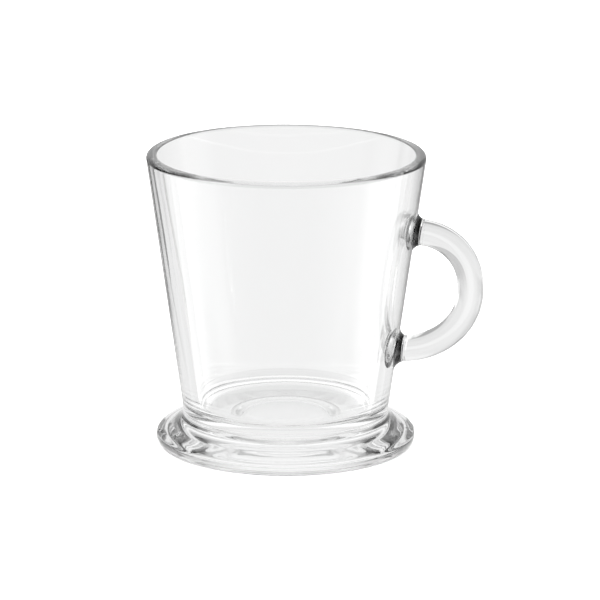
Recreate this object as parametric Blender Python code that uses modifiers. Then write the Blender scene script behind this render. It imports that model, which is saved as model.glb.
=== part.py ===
"""A clear-glass cappuccino cup: a tapered bowl standing in a pressed disc foot, with a round rod handle.

Each body of glass is its own object. Run it with blender --background --python part.py.
"""

import math

import bmesh
import bpy

# Bowl, in metres: the outside is one straight taper from the rim down to the foot's lip.
CUP_HEIGHT = 0.0850
RIM_RADIUS = 0.0400
RIM_WALL = 0.0032
BASE_RADIUS = 0.0297
BASE_WALL = 0.0050
FLOOR_THICKNESS = 0.0035
FLOOR_FILLET = 0.0029

# Foot: a domed disc whose lip holds the bowl's base. Its hollow underside is deepest in the middle.
LIP_HEIGHT = 0.0100
LIP_WIDTH = 0.0006
SOCKET_DEPTH = 0.0033
COVE_WIDTH = 0.0026
FOOT_RADIUS = 0.0374
FOOT_WIDEST_HEIGHT = 0.0023
FOOT_CROWN_RISE = 0.0038
FOOT_CROWN_REACH = 0.0092
FOOT_UNDERCUT = 0.0013
RESTING_RING_WIDTH = 0.0022
RECESS_DEPTH = 0.0010
PUNT_RADIUS = 0.0173
PUNT_TOP_RADIUS = 0.0107
PUNT_DEPTH = 0.0030

# Handle: a rod bent to a C, and the flared welds that hold its ends to the wall.
HANDLE_REACH = 0.0569
ROD_RADIUS = 0.00385
UPPER_ROOT_DROP = 0.0223
LOWER_ROOT_RISE = 0.0180
HANDLE_BULGE_RISE = 0.0012
UPPER_BOSS_RADIUS = 0.0056
LOWER_BOSS_RADIUS = 0.0060
BOSS_LENGTH = 0.0023
BOSS_FACE_MARGIN = 0.00025

# The gap that each weld leaves between one body of glass and the next.
WELD_GAP = 0.0003

# How finely round shapes are divided, and how far Bezier handles pull at the rod's roots and side.
TURN_STEPS = 64
BOSS_STEPS = 32
ROD_SIDES_PER_QUARTER = 4
ROD_STEPS = 16
ROOT_PULL = 0.53
SIDE_PULL = 0.63

# Heights, radii and slopes that follow from the sizes above.
WALL_TOP = CUP_HEIGHT - RIM_WALL / 2
SEAT_HEIGHT = LIP_HEIGHT - SOCKET_DEPTH
BOWL_BOTTOM = SEAT_HEIGHT + WELD_GAP
FLOOR_HEIGHT = BOWL_BOTTOM + FLOOR_THICKNESS
WALL_SLOPE = (RIM_RADIUS - BASE_RADIUS) / (WALL_TOP - LIP_HEIGHT)
WALL_LEAN = math.atan(WALL_SLOPE)
UPPER_ROOT_HEIGHT = CUP_HEIGHT - UPPER_ROOT_DROP
LOWER_ROOT_HEIGHT = LIP_HEIGHT + LOWER_ROOT_RISE
# The handle reaches past the rim on one side only, so the cup's axis stands left of the middle.
AXIS_X = (RIM_RADIUS - HANDLE_REACH) / 2


def wall_radius(height):
    """Outer radius of the tapered wall at a height."""
    return RIM_RADIUS - (WALL_TOP - height) * WALL_SLOPE


def ellipse_arc(centre, half_width, half_height, start, end, count):
    """Points along an ellipse in the profile plane, from one angle in degrees to another."""
    angles = [math.radians(start + (end - start) * i / (count - 1)) for i in range(count)]
    return [(centre[0] + half_width * math.cos(a), centre[1] + half_height * math.sin(a)) for a in angles]


def blend(start, start_pull, end, end_pull, count):
    """Points of a cubic Bezier between two points, each with the vector that its tangent pulls along."""
    first = (start[0] + start_pull[0], start[1] + start_pull[1])
    second = (end[0] - end_pull[0], end[1] - end_pull[1])
    points = []
    for i in range(count):
        t = i / (count - 1)
        weights = ((1 - t) ** 3, 3 * t * (1 - t) ** 2, 3 * t * t * (1 - t), t**3)
        corners = (start, first, second, end)
        points.append(tuple(sum(w * c[axis] for w, c in zip(weights, corners)) for axis in (0, 1)))
    return points


def glass(name, colour):
    """A clear glass material with a part's own faint tint."""
    material = bpy.data.materials.new(name)
    material.use_nodes = True
    shader = material.node_tree.nodes["Principled BSDF"]
    shader.inputs["Base Color"].default_value = (*colour, 1.0)
    shader.inputs["Metallic"].default_value = 0.0
    shader.inputs["Roughness"].default_value = 0.02
    shader.inputs["IOR"].default_value = 1.5
    shader.inputs["Transmission Weight"].default_value = 1.0
    return material


def turned(name, profile, steps):
    """An object turned about its own Z axis from a profile that runs down its outer side."""
    mesh = bpy.data.meshes.new(name)
    points = [(radius, 0.0, height) for radius, height in profile]
    edges = [(i, i + 1) for i in range(len(points) - 1)]
    mesh.from_pydata(points, edges, [])
    obj = bpy.data.objects.new(name, mesh)
    screw = obj.modifiers.new("Turn", "SCREW")
    screw.axis = "Z"
    screw.angle = math.tau
    screw.steps = steps
    screw.render_steps = steps
    screw.use_merge_vertices = True
    screw.merge_threshold = 0.00001
    screw.use_smooth_shade = True
    return obj


def finish_part(obj, material):
    """Puts a part of the cup in its collection, on the cup's axis, with its glass."""
    cup.objects.link(obj)
    obj.parent = cup_axis
    obj.data.materials.append(material)


def wall_cutter(name, offset):
    """A turned cone that stands a given distance outside the wall, longer than the wall at both ends."""
    lowest = SEAT_HEIGHT
    highest = CUP_HEIGHT
    outward = offset / math.cos(WALL_LEAN)
    profile = [
        (0.0, highest),
        (wall_radius(highest) + outward, highest),
        (wall_radius(lowest) + outward, lowest),
        (0.0, lowest),
    ]
    cutter = turned(name, profile, TURN_STEPS * 2)
    cutters.objects.link(cutter)
    cutter.parent = cup_axis
    cutter.hide_render = True
    cutter.display_type = "WIRE"
    return cutter


def cut(obj, cutter, operation):
    boolean = obj.modifiers.new(cutter.name, "BOOLEAN")
    boolean.operation = operation
    boolean.solver = "EXACT"
    boolean.object = cutter


def make_bowl():
    """The beaker: flat floor, filleted inside, tapering walls, a full round rim and a base that fits the foot."""
    rim_round = RIM_WALL / 2
    inner_top = RIM_RADIUS - RIM_WALL
    inner_bottom = wall_radius(FLOOR_HEIGHT) - BASE_WALL
    inner_lean = math.atan2(inner_top - inner_bottom, WALL_TOP - FLOOR_HEIGHT)
    fillet_centre = (
        inner_bottom - FLOOR_FILLET * (1 - math.sin(inner_lean)) / math.cos(inner_lean),
        FLOOR_HEIGHT + FLOOR_FILLET,
    )
    profile = [(0.0, FLOOR_HEIGHT)]
    profile += ellipse_arc(fillet_centre, FLOOR_FILLET, FLOOR_FILLET, -90, -math.degrees(inner_lean), 6)
    profile += ellipse_arc((RIM_RADIUS - rim_round, WALL_TOP), rim_round, rim_round, 180, 0, 11)
    profile += [(wall_radius(BOWL_BOTTOM), BOWL_BOTTOM), (0.0, BOWL_BOTTOM)]
    finish_part(turned("bowl", profile, TURN_STEPS), glass("bowl_glass", (0.97, 0.98, 0.975)))


def make_foot():
    """The disc foot: socket, lip, cove, domed top, rounded edge, resting ring and hollowed underside."""
    socket_radius = BASE_RADIUS + WELD_GAP
    lip_radius = socket_radius + LIP_WIDTH
    crown_centre = (FOOT_RADIUS - FOOT_CROWN_REACH, FOOT_WIDEST_HEIGHT)
    cove_end_radius = lip_radius + COVE_WIDTH
    cove_end_angle = math.acos((cove_end_radius - crown_centre[0]) / FOOT_CROWN_REACH)
    crown = ellipse_arc(
        crown_centre, FOOT_CROWN_REACH, FOOT_CROWN_RISE, math.degrees(cove_end_angle), 0, 9
    )
    crown_slope = FOOT_CROWN_RISE / FOOT_CROWN_REACH / math.tan(cove_end_angle)
    cove_drop = LIP_HEIGHT - crown[0][1]
    cove = blend(
        (lip_radius, LIP_HEIGHT),
        (0.0, -cove_drop * ROOT_PULL),
        crown[0],
        (COVE_WIDTH * ROOT_PULL, -COVE_WIDTH * ROOT_PULL * crown_slope),
        8,
    )
    ring_outer = FOOT_RADIUS - FOOT_UNDERCUT
    ring_inner = ring_outer - RESTING_RING_WIDTH
    undercut = ellipse_arc((ring_outer, FOOT_WIDEST_HEIGHT), FOOT_UNDERCUT, FOOT_WIDEST_HEIGHT, 0, -90, 6)
    shoulder = ellipse_arc((ring_inner - RECESS_DEPTH, 0.0), RECESS_DEPTH, RECESS_DEPTH, 0, 90, 5)
    punt_pull = ((PUNT_TOP_RADIUS - PUNT_RADIUS) * ROOT_PULL, 0.0)
    punt = blend((PUNT_RADIUS, RECESS_DEPTH), punt_pull, (PUNT_TOP_RADIUS, PUNT_DEPTH), punt_pull, 7)
    profile = [(0.0, SEAT_HEIGHT), (socket_radius, SEAT_HEIGHT), (socket_radius, LIP_HEIGHT)]
    profile += cove + crown[1:] + undercut[1:] + shoulder + punt + [(0.0, PUNT_DEPTH)]
    finish_part(turned("foot", profile, TURN_STEPS), glass("foot_glass", (0.965, 0.978, 0.972)))


def make_boss(name, height, radius, wall_keeper, face_keeper):
    """A weld at one end of the handle: it flares from the rod out to the wall and is cut to the wall's taper."""
    face_radius = ROD_RADIUS + BOSS_FACE_MARGIN
    overlap = BOSS_LENGTH
    flare = ellipse_arc(
        (radius, BOSS_LENGTH), radius - face_radius, BOSS_LENGTH - WELD_GAP, 180, 270, 6
    )
    profile = [(0.0, BOSS_LENGTH + overlap), (face_radius, BOSS_LENGTH + overlap)]
    profile += flare + [(radius, -overlap), (0.0, -overlap)]
    boss = turned(name, profile, BOSS_STEPS)
    boss.location = (wall_radius(height), 0.0, height)
    boss.rotation_euler = (0.0, math.pi / 2 + WALL_LEAN, 0.0)
    cut(boss, wall_keeper, "DIFFERENCE")
    cut(boss, face_keeper, "INTERSECT")
    finish_part(boss, glass(name + "_glass", (0.96, 0.975, 0.97)))


def make_handle(wall_keeper):
    """The rod: straight out from the upper weld, round the bulge and back in to the lower weld."""
    side = (HANDLE_REACH - ROD_RADIUS, (UPPER_ROOT_HEIGHT + LOWER_ROOT_HEIGHT) / 2 + HANDLE_BULGE_RISE)
    upper = (wall_radius(UPPER_ROOT_HEIGHT), UPPER_ROOT_HEIGHT)
    lower = (wall_radius(LOWER_ROOT_HEIGHT), LOWER_ROOT_HEIGHT)
    curve = bpy.data.curves.new("handle_path", "CURVE")
    curve.dimensions = "3D"
    curve.resolution_u = ROD_STEPS
    curve.bevel_depth = ROD_RADIUS
    curve.bevel_resolution = ROD_SIDES_PER_QUARTER
    curve.use_fill_caps = True
    spline = curve.splines.new("BEZIER")
    spline.bezier_points.add(2)
    upper_pull = (side[0] - upper[0]) * ROOT_PULL
    lower_pull = (side[0] - lower[0]) * ROOT_PULL
    rise = (upper[1] - side[1]) * SIDE_PULL
    drop = (side[1] - lower[1]) * SIDE_PULL
    knots = [
        (upper, (-upper_pull, 0.0), (upper_pull, 0.0)),
        (side, (0.0, rise), (0.0, -drop)),
        (lower, (lower_pull, 0.0), (-lower_pull, 0.0)),
    ]
    for point, (place, before, after) in zip(spline.bezier_points, knots):
        point.handle_left_type = "FREE"
        point.handle_right_type = "FREE"
        point.co = (place[0], 0.0, place[1])
        point.handle_left = (place[0] + before[0], 0.0, place[1] + before[1])
        point.handle_right = (place[0] + after[0], 0.0, place[1] + after[1])
    path = bpy.data.objects.new("handle_path", curve)
    cup.objects.link(path)
    bpy.context.view_layer.update()
    mesh = bpy.data.meshes.new_from_object(path.evaluated_get(bpy.context.evaluated_depsgraph_get()))
    welded = bmesh.new()
    welded.from_mesh(mesh)
    bmesh.ops.remove_doubles(welded, verts=welded.verts, dist=0.00001)
    bmesh.ops.recalc_face_normals(welded, faces=welded.faces)
    welded.to_mesh(mesh)
    welded.free()
    mesh.shade_smooth()
    mesh.name = "handle"
    handle = bpy.data.objects.new("handle", mesh)
    handle.matrix_world = path.matrix_world
    bpy.data.objects.remove(path)
    cut(handle, wall_keeper, "DIFFERENCE")
    finish_part(handle, glass("handle_glass", (0.97, 0.98, 0.975)))


for old in list(bpy.data.objects):
    bpy.data.objects.remove(old, do_unlink=True)

cup = bpy.data.collections.new("cappuccino_cup")
cutters = bpy.data.collections.new("cutters")
bpy.context.scene.collection.children.link(cup)
bpy.context.scene.collection.children.link(cutters)

cup_axis = bpy.data.objects.new("cup_axis", None)
cup_axis.location.x = AXIS_X
cup.objects.link(cup_axis)

wall_gap = wall_cutter("wall_gap_cutter", WELD_GAP)
boss_face = wall_cutter("boss_face_cutter", BOSS_LENGTH)
handle_gap = wall_cutter("handle_gap_cutter", BOSS_LENGTH + WELD_GAP)

make_bowl()
make_foot()
make_boss("upper_handle_boss", UPPER_ROOT_HEIGHT, UPPER_BOSS_RADIUS, wall_gap, boss_face)
make_boss("lower_handle_boss", LOWER_ROOT_HEIGHT, LOWER_BOSS_RADIUS, wall_gap, boss_face)
make_handle(handle_gap)
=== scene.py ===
"""The looks of the clear-glass cappuccino cup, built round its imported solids. Lengths are in metres."""

import math

import bpy
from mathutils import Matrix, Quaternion, Vector


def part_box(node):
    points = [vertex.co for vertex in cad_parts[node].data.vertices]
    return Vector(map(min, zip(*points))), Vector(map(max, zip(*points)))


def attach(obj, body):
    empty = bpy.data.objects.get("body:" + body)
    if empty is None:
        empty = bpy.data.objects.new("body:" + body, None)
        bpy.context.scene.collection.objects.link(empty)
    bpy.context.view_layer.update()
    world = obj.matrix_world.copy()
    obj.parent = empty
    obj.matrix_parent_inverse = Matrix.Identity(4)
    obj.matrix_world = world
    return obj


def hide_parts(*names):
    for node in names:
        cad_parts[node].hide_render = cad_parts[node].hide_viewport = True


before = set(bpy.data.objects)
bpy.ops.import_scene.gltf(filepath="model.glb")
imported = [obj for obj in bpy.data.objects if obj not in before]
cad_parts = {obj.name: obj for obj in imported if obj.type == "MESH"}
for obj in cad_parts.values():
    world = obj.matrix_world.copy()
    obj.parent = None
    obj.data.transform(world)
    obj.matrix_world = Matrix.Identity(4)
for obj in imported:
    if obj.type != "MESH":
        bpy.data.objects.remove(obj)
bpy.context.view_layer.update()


# Bowl: the tapered beaker of clear pressed soda-lime glass. Its wall thickens from the fire-polished rim,
# nearly flat with rounded corners, down to a flat, softly filleted floor. The mould left a fine line above
# the lip, and the plain base below the lip is fused into the foot's socket.
CUP_HEIGHT = 0.0850
RIM_RADIUS = 0.0400
RIM_WALL = 0.0032
RIM_INNER_ROUND = 0.0006
RIM_OUTER_ROUND = 0.0012
RIM_CROWN = 0.0001
RIM_TOP_TILT = 10
LIP_HEIGHT = 0.0100
LINE_HEIGHT = 0.0127
LINE_WIDTH = 0.00034
LINE_DEPTH = 0.00008
# The dark of the mould line is painted shade: where it fades towards the front, how faint it gets, its breaks
# and its tint.
LINE_FADE_START = 0.0225
LINE_FADE_END = 0.0285
LINE_FAINTNESS = 0.65
LINE_BREAKS = 1.2
LINE_BREAK_SCALE = 130.0
LINE_PAINTED_SHADE = (0.20, 0.20, 0.20)
BASE_RADIUS = 0.0297
BASE_WALL = 0.0050
FLOOR_HEIGHT = 0.0105
FLOOR_FILLET = 0.0038
FILLET_PULL = 0.70
BOWL_BOTTOM = 0.0070
BOWL_TINTS = ((0.9965, 0.9980, 0.9972), (0.9940, 0.9965, 0.9955))
BOWL_RIPPLE_SCALE = 70.0
BOWL_RIPPLE_DEPTH = 0.00003
BOWL_HAZE = 0.004
TINT_DRIFT_SCALE = 45.0
HAZE_SCALE = 220.0
GLASS_IOR = 1.5
TURN_STEPS = 256
SMOOTH_ANGLE = math.radians(32)
MERGE_REACH = 0.000002
FACE_REACH = 0.0001

WALL_TOP = CUP_HEIGHT - RIM_WALL / 2
WALL_SLOPE = (RIM_RADIUS - BASE_RADIUS) / (WALL_TOP - LIP_HEIGHT)
WALL_LEAN = math.atan(WALL_SLOPE)
bowl_low, bowl_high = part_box("bowl")
CUP_AXIS = Vector(((bowl_low[0] + bowl_high[0]) / 2, 0.0, 0.0))


def wall_radius(height):
    """Outer radius of the tapered wall at a height."""
    return RIM_RADIUS - (WALL_TOP - height) * WALL_SLOPE


def arc(centre, half_width, half_height, start, end, count):
    """Profile points along an ellipse, from one angle in degrees to another."""
    angles = [math.radians(start + (end - start) * i / (count - 1)) for i in range(count)]
    return [(centre[0] + half_width * math.cos(a), centre[1] + half_height * math.sin(a)) for a in angles]


def run(start, end, count):
    """Points between two profile points, closer together towards both, which keeps the shading true there."""
    shares = [(1 - math.cos(math.pi * i / count)) / 2 for i in range(1, count)]
    return [(start[0] + (end[0] - start[0]) * s, start[1] + (end[1] - start[1]) * s) for s in shares]


def blend(start, start_pull, end, end_pull, count):
    """Points of a smooth curve between two points, each with the vector that its tangent pulls along."""
    first = (start[0] + start_pull[0], start[1] + start_pull[1])
    second = (end[0] - end_pull[0], end[1] - end_pull[1])
    points = []
    for i in range(count):
        t = i / (count - 1)
        weights = ((1 - t) ** 3, 3 * t * (1 - t) ** 2, 3 * t * t * (1 - t), t**3)
        corners = (start, first, second, end)
        points.append(tuple(sum(w * c[k] for w, c in zip(weights, corners)) for k in (0, 1)))
    return points


def turn_glass(name, profile):
    """Draws a profile of radius and height point by point and spins it round the cup's axis into a solid."""
    places = [CUP_AXIS + Vector((radius, 0.0, height)) for radius, height in profile]
    bpy.ops.object.select_all(action="DESELECT")
    bpy.ops.mesh.primitive_plane_add(size=0.001, location=places[0])
    solid = bpy.context.object
    solid.name = name
    solid.data.name = name
    bpy.ops.object.mode_set(mode="EDIT")
    bpy.ops.mesh.select_all(action="SELECT")
    bpy.ops.mesh.merge(type="CENTER")
    for before, after in zip(places, places[1:]):
        bpy.ops.mesh.extrude_vertices_move(TRANSFORM_OT_translate={"value": after - before})
    bpy.ops.mesh.select_all(action="SELECT")
    bpy.ops.mesh.spin(steps=TURN_STEPS, angle=math.tau, center=CUP_AXIS, axis=(0.0, 0.0, 1.0))
    bpy.ops.mesh.select_all(action="SELECT")
    bpy.ops.mesh.remove_doubles(threshold=MERGE_REACH)
    bpy.ops.mesh.normals_make_consistent(inside=False)
    bpy.ops.object.mode_set(mode="OBJECT")
    bpy.ops.object.transform_apply(location=True, rotation=True, scale=True)
    bpy.ops.object.shade_smooth_by_angle(angle=SMOOTH_ANGLE)
    return solid


def axis_distance(place):
    """Distance of a point from the cup's axis."""
    return math.hypot(place[0] - CUP_AXIS[0], place[1])


rim_round = RIM_WALL / 2
rim_centre = (RIM_RADIUS - rim_round / math.cos(WALL_LEAN), WALL_TOP)
inner_foot = wall_radius(FLOOR_HEIGHT) - BASE_WALL
inner_lean = math.atan2(rim_centre[0] - rim_round - inner_foot, WALL_TOP - FLOOR_HEIGHT)
fillet_up = (FLOOR_FILLET * math.sin(inner_lean), FLOOR_FILLET * math.cos(inner_lean))
floor_fillet = blend(
    (inner_foot - FLOOR_FILLET, FLOOR_HEIGHT),
    (FLOOR_FILLET * FILLET_PULL, 0.0),
    (inner_foot + fillet_up[0], FLOOR_HEIGHT + fillet_up[1]),
    (fillet_up[0] * FILLET_PULL, fillet_up[1] * FILLET_PULL),
    31,
)
inner_height = CUP_HEIGHT - RIM_CROWN - RIM_INNER_ROUND
outer_height = CUP_HEIGHT - RIM_CROWN - RIM_OUTER_ROUND
inner_radius = rim_centre[0] - rim_round + (inner_height - WALL_TOP) * math.tan(inner_lean)
inner_corner = arc(
    (inner_radius + RIM_INNER_ROUND / math.cos(inner_lean), inner_height),
    RIM_INNER_ROUND,
    RIM_INNER_ROUND,
    180 - math.degrees(inner_lean),
    90 + RIM_TOP_TILT,
    12,
)
outer_corner = arc(
    (wall_radius(outer_height) - RIM_OUTER_ROUND / math.cos(WALL_LEAN), outer_height),
    RIM_OUTER_ROUND,
    RIM_OUTER_ROUND,
    90 - RIM_TOP_TILT,
    -math.degrees(WALL_LEAN),
    16,
)
top_pull = (outer_corner[0][0] - inner_corner[-1][0]) / 3
top_rise = top_pull * math.tan(math.radians(RIM_TOP_TILT))
rim_top = blend(inner_corner[-1], (top_pull, top_rise), outer_corner[0], (top_pull, -top_rise), 12)
rim_curve = inner_corner + rim_top[1:-1] + outer_corner
floor_middle = (0.0, FLOOR_HEIGHT)
lip_edge = (BASE_RADIUS, LIP_HEIGHT)
line_top = LINE_HEIGHT + LINE_WIDTH / 2
line_low = LINE_HEIGHT - LINE_WIDTH / 2
mould_line = [(wall_radius(line_top), line_top), (wall_radius(LINE_HEIGHT) - LINE_DEPTH, LINE_HEIGHT)]
mould_line += [(wall_radius(line_low), line_low)]
base_edge = (wall_radius(BOWL_BOTTOM), BOWL_BOTTOM)
bowl_profile = [floor_middle] + run(floor_middle, floor_fillet[0], 10) + floor_fillet
bowl_profile += run(floor_fillet[-1], rim_curve[0], 28) + rim_curve
bowl_profile += run(rim_curve[-1], mould_line[0], 28) + mould_line + run(mould_line[-1], lip_edge, 6)
bowl_profile += [lip_edge, base_edge, (0.0, BOWL_BOTTOM)]
bowl = turn_glass("cup_bowl", bowl_profile)


def effect(name, values, colours, results):
    """An empty node group with named inputs for values and colours, and results of their own kinds."""
    group = bpy.data.node_groups.new(name, "ShaderNodeTree")
    for socket_name in values:
        group.interface.new_socket(socket_name, in_out="INPUT", socket_type="NodeSocketFloat")
    for socket_name in colours:
        group.interface.new_socket(socket_name, in_out="INPUT", socket_type="NodeSocketColor")
    for socket_name, kind in results:
        group.interface.new_socket(socket_name, in_out="OUTPUT", socket_type=kind)
    entry = group.nodes.new("NodeGroupInput")
    result = group.nodes.new("NodeGroupOutput")
    return group, entry, result


def glass_ripple():
    """What pressing and fire polishing leave in clear glass: slow ripples, a drift of tint, faint haze."""
    group, entry, result = effect(
        "glass_ripple",
        ("Ripple Scale", "Haze"),
        ("Clear Tint", "Deep Tint"),
        (("Height", "NodeSocketFloat"), ("Tint", "NodeSocketColor"), ("Roughness", "NodeSocketFloat")),
    )
    nodes = group.nodes
    links = group.links
    place = nodes.new("ShaderNodeTexCoord")
    ripple = nodes.new("ShaderNodeTexNoise")
    ripple.inputs["Detail"].default_value = 1.0
    ripple.inputs["Roughness"].default_value = 0.35
    links.new(place.outputs["Object"], ripple.inputs["Vector"])
    links.new(entry.outputs["Ripple Scale"], ripple.inputs["Scale"])
    links.new(ripple.outputs["Fac"], result.inputs["Height"])
    drift = nodes.new("ShaderNodeTexNoise")
    drift.inputs["Scale"].default_value = TINT_DRIFT_SCALE
    drift.inputs["Detail"].default_value = 2.0
    links.new(place.outputs["Object"], drift.inputs["Vector"])
    tint = nodes.new("ShaderNodeMix")
    tint.data_type = "RGBA"
    links.new(drift.outputs["Fac"], tint.inputs["Factor"])
    links.new(entry.outputs["Clear Tint"], tint.inputs["A"])
    links.new(entry.outputs["Deep Tint"], tint.inputs["B"])
    links.new(tint.outputs["Result"], result.inputs["Tint"])
    bloom = nodes.new("ShaderNodeTexNoise")
    bloom.inputs["Scale"].default_value = HAZE_SCALE
    bloom.inputs["Detail"].default_value = 3.0
    links.new(place.outputs["Object"], bloom.inputs["Vector"])
    haze = nodes.new("ShaderNodeMath")
    haze.operation = "MULTIPLY"
    links.new(bloom.outputs["Fac"], haze.inputs[0])
    links.new(entry.outputs["Haze"], haze.inputs[1])
    links.new(haze.outputs["Value"], result.inputs["Roughness"])
    return group


ripple_group = glass_ripple()


def clear_glass(name, tints, ripple_scale, ripple_depth, haze):
    """Clear glass with its own clear and deep tints, ripple and haze. Ripple depth is in metres."""
    material = bpy.data.materials.new(name)
    material.use_nodes = True
    nodes = material.node_tree.nodes
    links = material.node_tree.links
    shader = nodes["Principled BSDF"]
    shader.inputs["IOR"].default_value = GLASS_IOR
    shader.inputs["Transmission Weight"].default_value = 1.0
    surface = nodes.new("ShaderNodeGroup")
    surface.node_tree = ripple_group
    surface.inputs["Ripple Scale"].default_value = ripple_scale
    surface.inputs["Clear Tint"].default_value = (*tints[0], 1.0)
    surface.inputs["Deep Tint"].default_value = (*tints[1], 1.0)
    surface.inputs["Haze"].default_value = haze
    bump = nodes.new("ShaderNodeBump")
    bump.inputs["Strength"].default_value = 1.0
    bump.inputs["Distance"].default_value = ripple_depth
    links.new(surface.outputs["Height"], bump.inputs["Height"])
    links.new(bump.outputs["Normal"], shader.inputs["Normal"])
    links.new(surface.outputs["Tint"], shader.inputs["Base Color"])
    links.new(surface.outputs["Roughness"], shader.inputs["Roughness"])
    return material


def glass_painted_shade():
    """Glass darkened to a tint of painted shade where a measure is low, and left clear where it is high."""
    group, entry, result = effect(
        "glass_painted_shade",
        ("Measure", "Dark At", "Clear At"),
        ("Painted Shade Tint", "Glass Tint"),
        (("Tint", "NodeSocketColor"),),
    )
    links = group.links
    shade_node = group.nodes.new("ShaderNodeMapRange")
    shade_node.interpolation_type = "SMOOTHSTEP"
    shaded_tint = group.nodes.new("ShaderNodeMix")
    shaded_tint.data_type = "RGBA"
    links.new(entry.outputs["Measure"], shade_node.inputs["Value"])
    links.new(entry.outputs["Dark At"], shade_node.inputs["From Min"])
    links.new(entry.outputs["Clear At"], shade_node.inputs["From Max"])
    links.new(shade_node.outputs["Result"], shaded_tint.inputs["Factor"])
    links.new(entry.outputs["Painted Shade Tint"], shaded_tint.inputs["A"])
    links.new(entry.outputs["Glass Tint"], shaded_tint.inputs["B"])
    links.new(shaded_tint.outputs["Result"], result.inputs["Tint"])
    return group


painted_shade_group = glass_painted_shade()


def paint_shade(material, measure, dark_at, clear_at, tint):
    """Paints shade on a glass: darkens it towards a tint where a measure of its own is low."""
    nodes = material.node_tree.nodes
    links = material.node_tree.links
    shade_node = nodes.new("ShaderNodeGroup")
    shade_node.node_tree = painted_shade_group
    shade_node.inputs["Dark At"].default_value = dark_at
    shade_node.inputs["Clear At"].default_value = clear_at
    shade_node.inputs["Painted Shade Tint"].default_value = (*tint, 1.0)
    links.new(measure, shade_node.inputs["Measure"])
    links.new(nodes["Group"].outputs["Tint"], shade_node.inputs["Glass Tint"])
    links.new(shade_node.outputs["Tint"], nodes["Principled BSDF"].inputs["Base Color"])


def fused_face():
    """What is left where two bodies of glass have melted into one: nothing to see."""
    material = bpy.data.materials.new("fused_face")
    material.use_nodes = True
    shader = material.node_tree.nodes["Principled BSDF"]
    shader.inputs["Alpha"].default_value = 0.0
    return material


fused = fused_face()


def glaze(piece, material, is_fused):
    """Gives a piece its glass, and the fused finish to each face whose middle the test picks."""
    piece.data.materials.clear()
    piece.data.materials.append(material)
    piece.data.materials.append(fused)
    for face in piece.data.polygons:
        face.material_index = 1 if is_fused(face.center) else 0


def is_bowl_base(place):
    """Picks the bowl's faces in the foot's socket."""
    at_bottom = place[2] < BOWL_BOTTOM + FACE_REACH
    return at_bottom or (place[2] < LIP_HEIGHT and axis_distance(place) > BASE_RADIUS - BASE_WALL / 2)


bowl_glass = clear_glass("bowl_glass", BOWL_TINTS, BOWL_RIPPLE_SCALE, BOWL_RIPPLE_DEPTH, BOWL_HAZE)
glaze(bowl, bowl_glass, is_bowl_base)

# The mould's line is a shallow groove, darkened with painted shade. The painted shade shows from outside
# only. It is broken all round, and fades towards the front.
line_glass = clear_glass("mould_line", BOWL_TINTS, BOWL_RIPPLE_SCALE, BOWL_RIPPLE_DEPTH, BOWL_HAZE)
line_nodes = line_glass.node_tree.nodes
line_links = line_glass.node_tree.links
line_place = line_nodes.new("ShaderNodeTexCoord")
line_parts = line_nodes.new("ShaderNodeSeparateXYZ")
line_links.new(line_place.outputs["Object"], line_parts.inputs["Vector"])
front_fade = line_nodes.new("ShaderNodeMapRange")
front_fade.inputs["From Min"].default_value = -LINE_FADE_START
front_fade.inputs["From Max"].default_value = -LINE_FADE_END
front_fade.inputs["To Max"].default_value = LINE_FAINTNESS
line_links.new(line_parts.outputs["Y"], front_fade.inputs["Value"])
line_breaks = line_nodes.new("ShaderNodeTexNoise")
line_breaks.inputs["Scale"].default_value = LINE_BREAK_SCALE
line_links.new(line_place.outputs["Object"], line_breaks.inputs["Vector"])
broken = line_nodes.new("ShaderNodeMath")
broken.operation = "MULTIPLY_ADD"
broken.inputs[1].default_value = LINE_BREAKS
line_links.new(line_breaks.outputs["Fac"], broken.inputs[0])
line_links.new(front_fade.outputs["Result"], broken.inputs[2])
evened = line_nodes.new("ShaderNodeMath")
evened.operation = "SUBTRACT"
evened.inputs[1].default_value = LINE_BREAKS / 2
line_links.new(broken.outputs["Value"], evened.inputs[0])
line_side = line_nodes.new("ShaderNodeNewGeometry")
faintness = line_nodes.new("ShaderNodeMath")
faintness.operation = "MAXIMUM"
line_links.new(line_side.outputs["Backfacing"], faintness.inputs[0])
line_links.new(evened.outputs["Value"], faintness.inputs[1])
paint_shade(line_glass, faintness.outputs["Value"], 0.0, 1.0, LINE_PAINTED_SHADE)
bowl.data.materials.append(line_glass)
for face in bowl.data.polygons:
    if line_low < face.center[2] < line_top and axis_distance(face.center) > BASE_RADIUS:
        face.material_index = 2
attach(bowl, "root")
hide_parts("bowl")


# Foot: the thick pressed disc that holds the bowl. Its top sweeps from the bowl in a cove to a domed edge.
# The parting line of the mould crosses it on both sides, and the underside is hollowed to stand on a ring.
COVE_WIDTH = 0.0032
FOOT_RADIUS = 0.0374
FOOT_WIDEST_HEIGHT = 0.0023
FOOT_CROWN_RISE = 0.0038
FOOT_CROWN_REACH = 0.0092
FOOT_UNDERCUT = 0.0013
RESTING_RING_WIDTH = 0.0022
RECESS_DEPTH = 0.0010
PUNT_DEPTH = 0.0030
PUNT_RADIUS = 0.0173
PUNT_TOP_RADIUS = 0.0107
PUNT_PULL = 0.5
SEAM_LEDGE = 0.00004
COVE_PULL = 0.53
PARTING_TURN = math.radians(10)
PARTING_HALF_WIDTH = 0.00016
PARTING_RISE = 0.00007
FOOT_TINTS = ((0.9960, 0.9975, 0.9968), (0.9930, 0.9960, 0.9948))
FOOT_RIPPLE_SCALE = 95.0
FOOT_RIPPLE_DEPTH = 0.00004
FOOT_HAZE = 0.006

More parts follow.
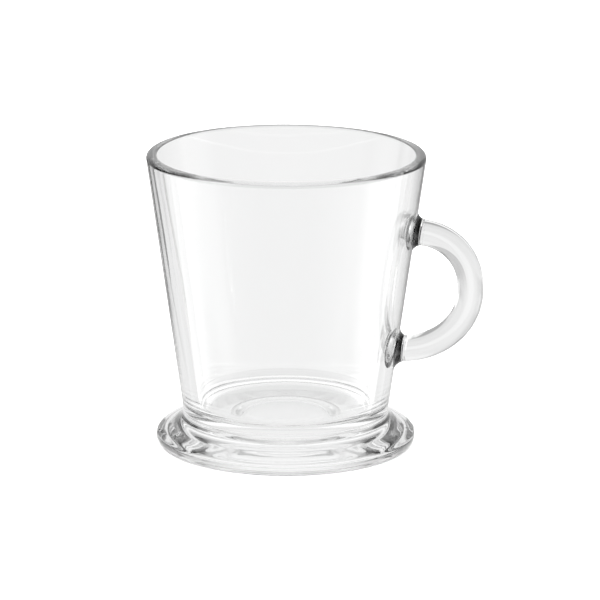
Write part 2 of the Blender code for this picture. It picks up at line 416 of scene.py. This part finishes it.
lip_outside = (BASE_RADIUS + SEAM_LEDGE, LIP_HEIGHT)
crown_centre = (FOOT_RADIUS - FOOT_CROWN_REACH, FOOT_WIDEST_HEIGHT)
cove_end_angle = math.acos((lip_outside[0] + COVE_WIDTH - crown_centre[0]) / FOOT_CROWN_REACH)
crown = arc(crown_centre, FOOT_CROWN_REACH, FOOT_CROWN_RISE, math.degrees(cove_end_angle), 0, 28)
crown_slope = FOOT_CROWN_RISE / FOOT_CROWN_REACH / math.tan(cove_end_angle)
cove_drop = LIP_HEIGHT - crown[0][1]
cove = blend(
    lip_outside,
    (-cove_drop * COVE_PULL * WALL_SLOPE, -cove_drop * COVE_PULL),
    crown[0],
    (COVE_WIDTH * COVE_PULL, -COVE_WIDTH * COVE_PULL * crown_slope),
    20,
)
ring_outer = FOOT_RADIUS - FOOT_UNDERCUT
ring_inner = ring_outer - RESTING_RING_WIDTH
undercut = arc((ring_outer, FOOT_WIDEST_HEIGHT), FOOT_UNDERCUT, FOOT_WIDEST_HEIGHT, 0, -90, 14)
shoulder = arc((ring_inner - RECESS_DEPTH, 0.0), RECESS_DEPTH, RECESS_DEPTH, 0, 90, 12)
punt_edge = (PUNT_RADIUS, RECESS_DEPTH)
punt_top = (PUNT_TOP_RADIUS, PUNT_DEPTH)
punt_middle = (0.0, PUNT_DEPTH)
punt_reach = ((PUNT_TOP_RADIUS - PUNT_RADIUS) * PUNT_PULL, 0.0)
punt = blend(punt_edge, punt_reach, punt_top, punt_reach, 24)
foot_profile = [(0.0, BOWL_BOTTOM), base_edge, lip_edge] + cove + crown[1:] + undercut[1:]
foot_profile += run(undercut[-1], shoulder[0], 4) + shoulder + run(shoulder[-1], punt_edge, 10) + punt
foot_profile += run(punt_top, punt_middle, 8) + [punt_middle]
foot = turn_glass("cup_foot", foot_profile)

# A fine ridge stands out where the halves of the mould met.
parting_normal = Vector((-math.sin(PARTING_TURN), math.cos(PARTING_TURN), 0.0))
bpy.ops.object.mode_set(mode="EDIT")
for offset in (-PARTING_HALF_WIDTH, 0.0, PARTING_HALF_WIDTH):
    bpy.ops.mesh.select_all(action="SELECT")
    bpy.ops.mesh.bisect(plane_co=CUP_AXIS + parting_normal * offset, plane_no=parting_normal)
bpy.ops.mesh.select_all(action="DESELECT")
bpy.ops.object.mode_set(mode="OBJECT")
for vertex in foot.data.vertices:
    on_parting = abs((vertex.co - CUP_AXIS).dot(parting_normal)) < MERGE_REACH
    outside = axis_distance(vertex.co) > BASE_RADIUS + SEAM_LEDGE / 2 and vertex.co[2] > FACE_REACH
    if on_parting and outside:
        vertex.co += vertex.normal * PARTING_RISE


def is_socket(place):
    """Picks the foot's faces against the bowl's base."""
    beside_base = BOWL_BOTTOM - FACE_REACH < place[2] < LIP_HEIGHT
    return beside_base and axis_distance(place) < wall_radius(place[2]) + FACE_REACH / 10


foot_glass = clear_glass("foot_glass", FOOT_TINTS, FOOT_RIPPLE_SCALE, FOOT_RIPPLE_DEPTH, FOOT_HAZE)
glaze(foot, foot_glass, is_socket)
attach(foot, "root")
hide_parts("foot")


# Handle: one drawn glass rod bent to a C. While hot, both of its ends were pressed on the wall, so that they
# spread into flared welds: the upper and lower bosses, which are pieces of their own, fused on both sides.
# Just outside the wall each weld has a narrow band of painted shade, nearly black.
HANDLE_REACH = 0.0569
ROD_RADIUS = 0.00385
UPPER_ROOT_HEIGHT = 0.0627
LOWER_ROOT_HEIGHT = 0.0280
MIDDLE_HEIGHT = (UPPER_ROOT_HEIGHT + LOWER_ROOT_HEIGHT) / 2
HANDLE_BULGE_RISE = 0.0012
ROOT_PULL = 0.53
SIDE_PULL = 0.63
UPPER_BOSS_RADIUS = 0.0056
LOWER_BOSS_RADIUS = 0.0060
FLARE_LENGTH = 0.0023
WELD_DEPTH = 0.0004
BOSS_LENGTH = 0.0026
FLARE_FADE = 0.0060
FLARE_EDGE_SLOPE = 0.35
# A narrow, nearly black band of painted shade on each weld, just outside the wall.
SHADE_BAND_REACH = 0.00055
SHADE_BAND_HALF_WIDTH = 0.00048
SHADE_BAND_EDGE = 0.00016
ROOT_SHADE_TINT = (0.005, 0.005, 0.005)
ROD_TINTS = ((0.9965, 0.9980, 0.9972), (0.9945, 0.9968, 0.9958))
ROD_RIPPLE_SCALE = 130.0
ROD_RIPPLE_DEPTH = 0.000012
ROD_HAZE = 0.004
WELD_TINTS = ((0.9960, 0.9975, 0.9968), (0.9930, 0.9960, 0.9948))
WELD_RIPPLE_SCALE = 260.0
WELD_RIPPLE_DEPTH = 0.00001
WELD_HAZE = 0.006
HALF_PATH_STEPS = 150
END_REACH = 0.00002


def rod_path():
    """Middle line of the rod from inside the wall at the upper weld to inside the wall at the lower weld."""
    side = (HANDLE_REACH - ROD_RADIUS, MIDDLE_HEIGHT + HANDLE_BULGE_RISE)
    upper = (wall_radius(UPPER_ROOT_HEIGHT), UPPER_ROOT_HEIGHT)
    lower = (wall_radius(LOWER_ROOT_HEIGHT), LOWER_ROOT_HEIGHT)
    upper_pull = ((side[0] - upper[0]) * ROOT_PULL, 0.0)
    lower_pull = ((lower[0] - side[0]) * ROOT_PULL, 0.0)
    rise = (0.0, (side[1] - upper[1]) * SIDE_PULL)
    drop = (0.0, (lower[1] - side[1]) * SIDE_PULL)
    half = blend(upper, upper_pull, side, rise, HALF_PATH_STEPS)
    path = half + blend(side, drop, lower, lower_pull, HALF_PATH_STEPS)[1:]
    return [(upper[0] - WELD_DEPTH, upper[1])] + path + [(lower[0] - WELD_DEPTH, lower[1])]


def flare_radius(distance, boss_radius):
    """Radius of the hot end at a distance from the wall."""
    if distance <= 0.0:
        return boss_radius
    if distance >= FLARE_LENGTH:
        return ROD_RADIUS
    share = 1 - distance / FLARE_LENGTH
    bowed = 1 - math.sqrt(1 - share * share)
    spread = FLARE_EDGE_SLOPE * share * share + (1 - FLARE_EDGE_SLOPE) * bowed
    return ROD_RADIUS + (boss_radius - ROD_RADIUS) * spread


def wall_face(place):
    """X of the wall's outer face beside a point on the handle's side of the cup."""
    return CUP_AXIS[0] + math.sqrt(wall_radius(place[2]) ** 2 - place[1] ** 2)


# The rod follows its path, and its ends spread and take the curve of the wall.
path = rod_path()
rod_curve = bpy.data.curves.new("rod_path", "CURVE")
rod_curve.dimensions = "3D"
rod_curve.bevel_depth = ROD_RADIUS
rod_curve.bevel_resolution = 10
rod_curve.use_fill_caps = False
rod_line = rod_curve.splines.new("POLY")
rod_line.points.add(len(path) - 1)
wall_distances = []
for point, (reach, height) in zip(rod_line.points, path):
    boss_radius = UPPER_BOSS_RADIUS if height > MIDDLE_HEIGHT else LOWER_BOSS_RADIUS
    distance = reach - wall_radius(height)
    wall_distances.append(distance)
    point.co = (CUP_AXIS[0] + reach, 0.0, height, 1.0)
    point.radius = flare_radius(distance, boss_radius) / ROD_RADIUS
rod = bpy.data.objects.new("handle_rod", rod_curve)
bpy.context.scene.collection.objects.link(rod)
bpy.ops.object.select_all(action="DESELECT")
rod.select_set(True)
bpy.context.view_layer.objects.active = rod
bpy.ops.object.convert(target="MESH")
rod = bpy.context.object
sides = len(rod.data.vertices) // len(path)
for index, vertex in enumerate(rod.data.vertices):
    distance = wall_distances[index // sides]
    fade = min(1.0, max(0.0, (FLARE_FADE - distance) / (FLARE_FADE - BOSS_LENGTH)))
    grip = fade * fade * (3 - 2 * fade)
    if grip > 0.0:
        vertex.co[0] += grip * (wall_face(vertex.co) + distance - vertex.co[0])

bpy.ops.object.mode_set(mode="EDIT")
bpy.ops.mesh.select_all(action="SELECT")
bpy.ops.mesh.normals_make_consistent(inside=False)
bpy.ops.mesh.select_all(action="DESELECT")
bpy.ops.object.mode_set(mode="OBJECT")

# The spread ends come off the rod as the two welds.
boss_rings = [distance < BOSS_LENGTH for distance in wall_distances]
for face in rod.data.polygons:
    face.select = all(boss_rings[corner // sides] for corner in face.vertices)
bpy.ops.object.mode_set(mode="EDIT")
bpy.ops.mesh.separate(type="SELECTED")
bpy.ops.object.mode_set(mode="OBJECT")
bosses = [piece for piece in bpy.context.selected_objects if piece != rod][0]
bpy.ops.object.select_all(action="DESELECT")
bosses.select_set(True)
bpy.context.view_layer.objects.active = bosses
bpy.ops.object.mode_set(mode="EDIT")
bpy.ops.mesh.select_all(action="SELECT")
bpy.ops.mesh.separate(type="LOOSE")
bpy.ops.object.mode_set(mode="OBJECT")
boss_pair = sorted(bpy.context.selected_objects, key=lambda piece: -piece.data.vertices[0].co[2])
upper_boss, lower_boss = boss_pair
upper_boss.name = "upper_weld"
lower_boss.name = "lower_weld"


def close_ends(piece):
    """Fills both open ends of a length of rod with a fan of faces, and turns all faces outwards."""
    bpy.ops.object.select_all(action="DESELECT")
    piece.select_set(True)
    bpy.context.view_layer.objects.active = piece
    faces_before = len(piece.data.polygons)
    bpy.ops.object.mode_set(mode="EDIT")
    bpy.ops.mesh.select_all(action="SELECT")
    bpy.ops.mesh.fill_holes(sides=0)
    bpy.ops.mesh.select_all(action="DESELECT")
    bpy.ops.object.mode_set(mode="OBJECT")
    for face in piece.data.polygons:
        face.select = face.index >= faces_before
    bpy.ops.object.mode_set(mode="EDIT")
    bpy.ops.mesh.poke()
    bpy.ops.mesh.select_all(action="SELECT")
    bpy.ops.mesh.normals_make_consistent(inside=False)
    bpy.ops.object.mode_set(mode="OBJECT")
    bpy.ops.object.shade_smooth_by_angle(angle=SMOOTH_ANGLE)


handle_glass = clear_glass("handle_glass", ROD_TINTS, ROD_RIPPLE_SCALE, ROD_RIPPLE_DEPTH, ROD_HAZE)
weld_glass = clear_glass("weld_glass", WELD_TINTS, WELD_RIPPLE_SCALE, WELD_RIPPLE_DEPTH, WELD_HAZE)
# The welds' glass gets its band of painted shade, measured from a line a little outside the wall.
from_shade_band = weld_glass.node_tree.nodes.new("ShaderNodeAttribute")
from_shade_band.attribute_name = "from_shade_band"
paint_shade(weld_glass, from_shade_band.outputs["Fac"], SHADE_BAND_HALF_WIDTH, SHADE_BAND_HALF_WIDTH + SHADE_BAND_EDGE, ROOT_SHADE_TINT)
for piece in (upper_boss, lower_boss):
    distances = piece.data.attributes.new("from_shade_band", "FLOAT", "POINT")
    for vertex, distance in zip(piece.data.vertices, distances.data):
        shade_band_x = CUP_AXIS[0] + wall_radius(vertex.co[2]) + SHADE_BAND_REACH
        distance.value = abs(vertex.co[0] - shade_band_x)
weld_end = max(distance for distance in wall_distances if distance < BOSS_LENGTH)


def is_rod_end(place):
    """Picks the rod's two fused ends."""
    return place[0] - wall_face(place) < weld_end + END_REACH


def is_weld_face(place):
    """Picks a boss's faces in the wall and against the rod."""
    distance = place[0] - wall_face(place)
    return distance < 0.0 or distance > weld_end - END_REACH


for piece, material in ((rod, handle_glass), (upper_boss, weld_glass), (lower_boss, weld_glass)):
    close_ends(piece)
    glaze(piece, material, is_rod_end if piece == rod else is_weld_face)
    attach(piece, "root")
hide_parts("handle")
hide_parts("upper_handle_boss")
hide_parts("lower_handle_boss")

# Each weld sits in a socket of its own in the wall.
bpy.ops.object.select_all(action="DESELECT")
bowl.select_set(True)
bpy.context.view_layer.objects.active = bowl
for boss in (upper_boss, lower_boss):
    socket = bowl.modifiers.new("weld_socket", "BOOLEAN")
    socket.operation = "DIFFERENCE"
    socket.solver = "EXACT"
    socket.material_mode = "TRANSFER"
    socket.object = boss
    bpy.ops.object.modifier_apply(modifier=socket.name)
bpy.ops.object.mode_set(mode="EDIT")
bpy.ops.mesh.select_all(action="SELECT")
bpy.ops.mesh.remove_doubles(threshold=MERGE_REACH)
bpy.ops.object.mode_set(mode="OBJECT")
bpy.ops.object.shade_smooth_by_angle(angle=SMOOTH_ANGLE)


# Stage: a plain white table, soft white light from all round, and the camera where the photograph was taken.
# Three cards stand round the cup and the table glows below it. Both are seen in the glass alone, and the
# plain table is seen directly only, so that the glass shows light and not the table's edge.
FLOOR_SIZE = 12.0
CAMERA_DISTANCE = 1.200
CAMERA_RISE = math.radians(14.62)
CAMERA_TURN = math.radians(5.0)
CAMERA_ROLL = math.radians(0.19)
LENS_MM = 250.3
AIM_HEIGHT = 0.0416
AIM_RIGHT = 0.00403
TABLE_COLOUR = (0.9, 0.9, 0.9, 1.0)
TABLE_ROUGHNESS = 0.9
TABLE_DROP = 0.0001
# The glowing disc under the cup, seen only in the glass, holds a painted shadow of the cup and a painted ring
# of focused light.
LIT_TABLE_DROP = 0.00005
LIT_TABLE_RADIUS = 0.050
LIT_TABLE_BRIGHTNESS = 1.25
LIT_TABLE_MIDDLE = 0.72
LIT_TABLE_RINGS = ((0.20, 0.72), (0.40, 0.65), (0.60, 0.62), (0.74, 0.88), (0.88, 0.86))
LIT_TABLE_RIM = 0.64
# A hard edge still needs a fade of some width, because a fade of none would hide the card.
HARD_EDGE = 0.000001
STUDIO_LEVEL = 0.565
DARKEST_LEVEL = 0.02
WHITE_OUT = 3.0

bpy.ops.object.select_all(action="DESELECT")
bpy.ops.mesh.primitive_plane_add(size=FLOOR_SIZE, location=(0.0, 0.0, -TABLE_DROP))
table = bpy.context.object
table.name = "white_table"
white = bpy.data.materials.new("white_table")
white.use_nodes = True
white.node_tree.nodes["Principled BSDF"].inputs["Base Color"].default_value = TABLE_COLOUR
white.node_tree.nodes["Principled BSDF"].inputs["Roughness"].default_value = TABLE_ROUGHNESS
table.data.materials.append(white)
table.visible_transmission = False
table.visible_glossy = False

ahead = Vector((-math.sin(CAMERA_TURN), math.cos(CAMERA_TURN), 0.0))
right = Vector((math.cos(CAMERA_TURN), math.sin(CAMERA_TURN), 0.0))


def studio_surface(name, brightness):
    """A matt surface of one brightness, seen only in the glass."""
    surface = bpy.context.object
    surface.name = name
    material = bpy.data.materials.new(name)
    material.use_nodes = True
    shader = material.node_tree.nodes["Principled BSDF"]
    shader.inputs["Base Color"].default_value = (0.0, 0.0, 0.0, 1.0)
    shader.inputs["Roughness"].default_value = 1.0
    shader.inputs["Specular IOR Level"].default_value = 0.0
    shader.inputs["Emission Color"].default_value = (1.0, 1.0, 1.0, 1.0)
    shader.inputs["Emission Strength"].default_value = brightness
    surface.data.materials.append(material)
    surface.visible_camera = False
    surface.visible_diffuse = False
    surface.visible_shadow = False
    return material


def card_cover():
    """How much of a card covers what is behind it: all, but for soft edges of given shares of its size."""
    group, entry, result = effect(
        "card_cover", ("Near End", "Far End", "Foot", "Head"), (), (("Cover", "NodeSocketFloat"),)
    )
    nodes = group.nodes
    links = group.links
    place = nodes.new("ShaderNodeTexCoord")
    shares = nodes.new("ShaderNodeSeparateXYZ")
    links.new(place.outputs["UV"], shares.inputs["Vector"])
    cover = None
    edges = (("Near End", "X", True), ("Far End", "X", False), ("Foot", "Y", False), ("Head", "Y", True))
    for edge, axis, is_high in edges:
        inwards = nodes.new("ShaderNodeMath")
        inwards.operation = "MULTIPLY_ADD"
        inwards.inputs[1].default_value = -1.0 if is_high else 1.0
        inwards.inputs[2].default_value = 1.0 if is_high else 0.0
        links.new(shares.outputs[axis], inwards.inputs[0])
        fade = nodes.new("ShaderNodeMapRange")
        fade.interpolation_type = "SMOOTHSTEP"
        links.new(inwards.outputs["Value"], fade.inputs["Value"])
        links.new(entry.outputs[edge], fade.inputs["From Max"])
        both = nodes.new("ShaderNodeMath")
        both.operation = "MULTIPLY"
        both.inputs[1].default_value = 1.0
        links.new(fade.outputs["Result"], both.inputs[0])
        if cover:
            links.new(cover, both.inputs[1])
        cover = both.outputs["Value"]
    links.new(cover, result.inputs["Cover"])
    return group


cover_group = card_cover()


def stand_card(name, aside, behind, width, height, turn, brightness, soft_edges):
    """Stands a card on the table, to the right of the cup's axis and behind it as the camera sees them.

    Soft edges are the shares that fade out at its near end, far end, foot and head.
    """
    place = CUP_AXIS + right * aside + ahead * behind + Vector((0.0, 0.0, height / 2))
    facing = (math.radians(90), 0.0, CAMERA_TURN + math.radians(turn))
    bpy.ops.mesh.primitive_plane_add(size=1.0, location=place, rotation=facing)
    bpy.context.object.scale = (width, height, 1.0)
    bpy.ops.object.transform_apply(location=True, rotation=True, scale=True)
    material = studio_surface(name, brightness)
    cover = material.node_tree.nodes.new("ShaderNodeGroup")
    cover.node_tree = cover_group
    for edge, softness in zip(cover.inputs, soft_edges):
        edge.default_value = softness
    shader = material.node_tree.nodes["Principled BSDF"]
    material.node_tree.links.new(cover.outputs["Cover"], shader.inputs["Alpha"])


stand_card(
    "dark_card",
    aside=-0.088,
    behind=0.111,
    width=0.045,
    height=0.079,
    turn=-50,
    brightness=0.04,
    soft_edges=(HARD_EDGE, HARD_EDGE, HARD_EDGE, HARD_EDGE),
)
stand_card(
    "gray_card",
    aside=-0.061,
    behind=0.058,
    width=0.099,
    height=0.092,
    turn=-69,
    brightness=0.56,
    soft_edges=(0.30, 0.30, 0.18, 0.15),
)
stand_card(
    "pale_card",
    aside=0.194,
    behind=0.144,
    width=0.212,
    height=0.150,
    turn=0,
    brightness=0.61,
    soft_edges=(0.15, HARD_EDGE, 0.25, 0.15),
)

# The table under the cup glows in soft rings, seen only in the glass: a painted shadow of the cup, darkest a
# little inside the foot's edge, and a painted ring of light focused by the glass just outside it.
bpy.ops.mesh.primitive_circle_add(vertices=96, radius=LIT_TABLE_RADIUS, fill_type="NGON", location=CUP_AXIS)
bpy.context.object.location[2] = -LIT_TABLE_DROP
bpy.ops.object.transform_apply(location=True, rotation=True, scale=True)
lit_table = studio_surface("lit_table", LIT_TABLE_BRIGHTNESS)
place = lit_table.node_tree.nodes.new("ShaderNodeTexCoord")
spread = lit_table.node_tree.nodes.new("ShaderNodeVectorMath")
spread.operation = "DISTANCE"
spread.inputs[1].default_value = CUP_AXIS
share = lit_table.node_tree.nodes.new("ShaderNodeMath")
share.operation = "DIVIDE"
share.inputs[1].default_value = LIT_TABLE_RADIUS
rings = lit_table.node_tree.nodes.new("ShaderNodeValToRGB")
rings.color_ramp.interpolation = "EASE"
for position, tone in LIT_TABLE_RINGS:
    rings.color_ramp.elements.new(position).color = (tone, tone, tone, 1.0)
rings.color_ramp.elements[0].color = (LIT_TABLE_MIDDLE, LIT_TABLE_MIDDLE, LIT_TABLE_MIDDLE, 1.0)
rings.color_ramp.elements[-1].color = (LIT_TABLE_RIM, LIT_TABLE_RIM, LIT_TABLE_RIM, 1.0)
lit_table.node_tree.links.new(place.outputs["Object"], spread.inputs[0])
lit_table.node_tree.links.new(spread.outputs["Value"], share.inputs[0])
lit_table.node_tree.links.new(share.outputs["Value"], rings.inputs["Fac"])
lit_table.node_tree.links.new(
    rings.outputs["Color"], lit_table.node_tree.nodes["Principled BSDF"].inputs["Emission Color"]
)

# The room is one even gray, to which soft panels add light and black flags take it off.
world = bpy.data.worlds.new("studio")
bpy.context.scene.world = world
world.use_nodes = True
studio = world.node_tree
view = studio.nodes.new("ShaderNodeTexCoord")
turned = studio.nodes.new("ShaderNodeVectorRotate")
turned.rotation_type = "Z_AXIS"
turned.inputs["Angle"].default_value = -CAMERA_TURN
studio.links.new(view.outputs["Generated"], turned.inputs["Vector"])
parts = studio.nodes.new("ShaderNodeSeparateXYZ")
studio.links.new(turned.outputs["Vector"], parts.inputs["Vector"])


def reckon(operation, first, second=0.0):
    """A math node of the studio, from numbers or sockets."""
    node = studio.nodes.new("ShaderNodeMath")
    node.operation = operation
    for socket, value in zip(node.inputs, (first, second)):
        if isinstance(value, (int, float)):
            socket.default_value = value
        else:
            studio.links.new(value, socket)
    return node.outputs["Value"]


def soft_edge(angle, dark, bright):
    """A soft step of light along an angle in degrees, from none at one value to all at another."""
    step = studio.nodes.new("ShaderNodeMapRange")
    step.interpolation_type = "SMOOTHSTEP"
    step.inputs["From Min"].default_value = min(dark, bright)
    step.inputs["From Max"].default_value = max(dark, bright)
    step.inputs["To Min"].default_value = 0.0 if dark < bright else 1.0
    step.inputs["To Max"].default_value = 1.0 if dark < bright else 0.0
    studio.links.new(angle, step.inputs["Value"])
    return step.outputs["Result"]


def panel(level, gain, *edges):
    """Adds a panel's light, or takes a flag's off. Each edge is an angle with its outer and inner values."""
    light = gain
    for angle, dark, bright in edges:
        light = reckon("MULTIPLY", soft_edge(angle, dark, bright), light)
    return reckon("ADD", level, light)


# Bearing runs from straight ahead to the right, side is its size either way, and rise is up from level.
bearing = reckon("MULTIPLY", reckon("ARCTAN2", parts.outputs["X"], parts.outputs["Y"]), math.degrees(1.0))
side = reckon("ABSOLUTE", bearing)
rise = reckon("MULTIPLY", reckon("ARCSINE", parts.outputs["Z"]), math.degrees(1.0))
level = STUDIO_LEVEL
# White ground, darker right below the cup.
level = panel(level, 0.235, (rise, -17.5, -21.5))
level = panel(level, -0.40, (rise, -40, -50))
# High light beyond the cup, with a strip over the middle of the backdrop.
level = panel(level, 0.11, (rise, 33, 43), (side, 120, 80))
level = panel(level, 0.18, (side, 25, 10), (rise, 14, 26))
# Backdrop, with a wide glow and a low, narrow one in its middle, and the lit ground before it.
level = panel(level, 0.165, (bearing, -49, -35), (bearing, 47, 33), (rise, -22, -18), (rise, 45, 35))
level = panel(level, 0.15, (side, 32, 12), (rise, -21, -17), (rise, 32, 16))
level = panel(level, 0.08, (side, 13, 4), (rise, -21, -17), (rise, -8, -12))
level = panel(level, 0.06, (side, 45, 25), (rise, -36, -30), (rise, -18, -22))
# Bright lanes on the ground at both sides, and their long fades towards the camera.
lane_left = ((bearing, -90, -74), (bearing, -47, -53))
lane_right = ((bearing, 43, 49), (bearing, 112, 96))
lane_ends = ((side, 65.2, 66.8), (side, 107, 77))
fade_left = ((bearing, -175, -75), (bearing, -65.2, -66.8))
fade_right = ((bearing, 65.2, 66.8), (bearing, 170, 70))
level = panel(level, 0.40, *lane_left, (rise, -31.5, -28.5), (rise, -18.5, -21.5))
level = panel(level, 0.44, *lane_right, (rise, -32.5, -29.5), (rise, -17.5, -20.5))
level = panel(level, 0.40, *lane_ends, (rise, -30.5, -27.5), (rise, -19.5, -22.5))
level = panel(level, 0.60, *fade_left, (rise, -37, -31), (rise, -14, -20))
level = panel(level, 1.10, *fade_right, (rise, -37, -31), (rise, -14, -20))
# Dark flag at the left, and a low fill at the right.
level = panel(level, -0.43, (bearing, -110, -100), (bearing, -43, -53), (rise, -21, -13), (rise, 31, 23))
level = panel(level, 0.40, (bearing, 39, 53), (bearing, 119, 105), (rise, -23, -17), (rise, 1, -5))
# Dark room behind the camera, flags high at both sides, and dark patches of ground.
level = panel(level, -0.35, (side, 95, 115), (rise, -15, -5))
level = panel(level, -0.30, (side, 28, 40), (rise, 14, 22), (rise, 46, 38))
level = panel(level, -0.60, (side, 104, 116), (side, 171, 159), (rise, 19, 25), (rise, 40, 34))
level = panel(level, -0.32, (side, 50, 58), (side, 102, 94), (rise, -42.5, -39.5), (rise, -29.5, -32.5))
level = reckon("MAXIMUM", level, DARKEST_LEVEL)
path_kind = studio.nodes.new("ShaderNodeLightPath")
on_table = reckon("MAXIMUM", path_kind.outputs["Is Camera Ray"], path_kind.outputs["Is Diffuse Ray"])
white_out = reckon("MULTIPLY", on_table, WHITE_OUT)
through_glass = reckon("MULTIPLY", reckon("SUBTRACT", 1.0, on_table), level)
sky = studio.nodes["Background"]
sky.inputs["Color"].default_value = (1.0, 1.0, 1.0, 1.0)
studio.links.new(reckon("ADD", white_out, through_glass), sky.inputs["Strength"])

lens = bpy.data.cameras.new("camera")
lens.lens = LENS_MM
lens.sensor_width = 36.0
lens.clip_start = 0.05
lens.clip_end = 20.0
camera = bpy.data.objects.new("camera", lens)
bpy.context.scene.collection.objects.link(camera)
back = Vector(
    (
        math.sin(CAMERA_TURN) * math.cos(CAMERA_RISE),
        -math.cos(CAMERA_TURN) * math.cos(CAMERA_RISE),
        math.sin(CAMERA_RISE),
    )
)
camera.location = CUP_AXIS + Vector((0.0, 0.0, AIM_HEIGHT)) + right * AIM_RIGHT + back * CAMERA_DISTANCE
camera.rotation_mode = "QUATERNION"
camera.rotation_quaternion = (-back).to_track_quat("-Z", "Y") @ Quaternion((0.0, 0.0, 1.0), CAMERA_ROLL)
bpy.context.scene.camera = camera
bpy.context.scene.view_settings.view_transform = "Standard"
bpy.context.scene.cycles.max_bounces = 32
bpy.context.scene.cycles.transmission_bounces = 32
bpy.context.scene.cycles.glossy_bounces = 20
bpy.context.scene.cycles.transparent_max_bounces = 32
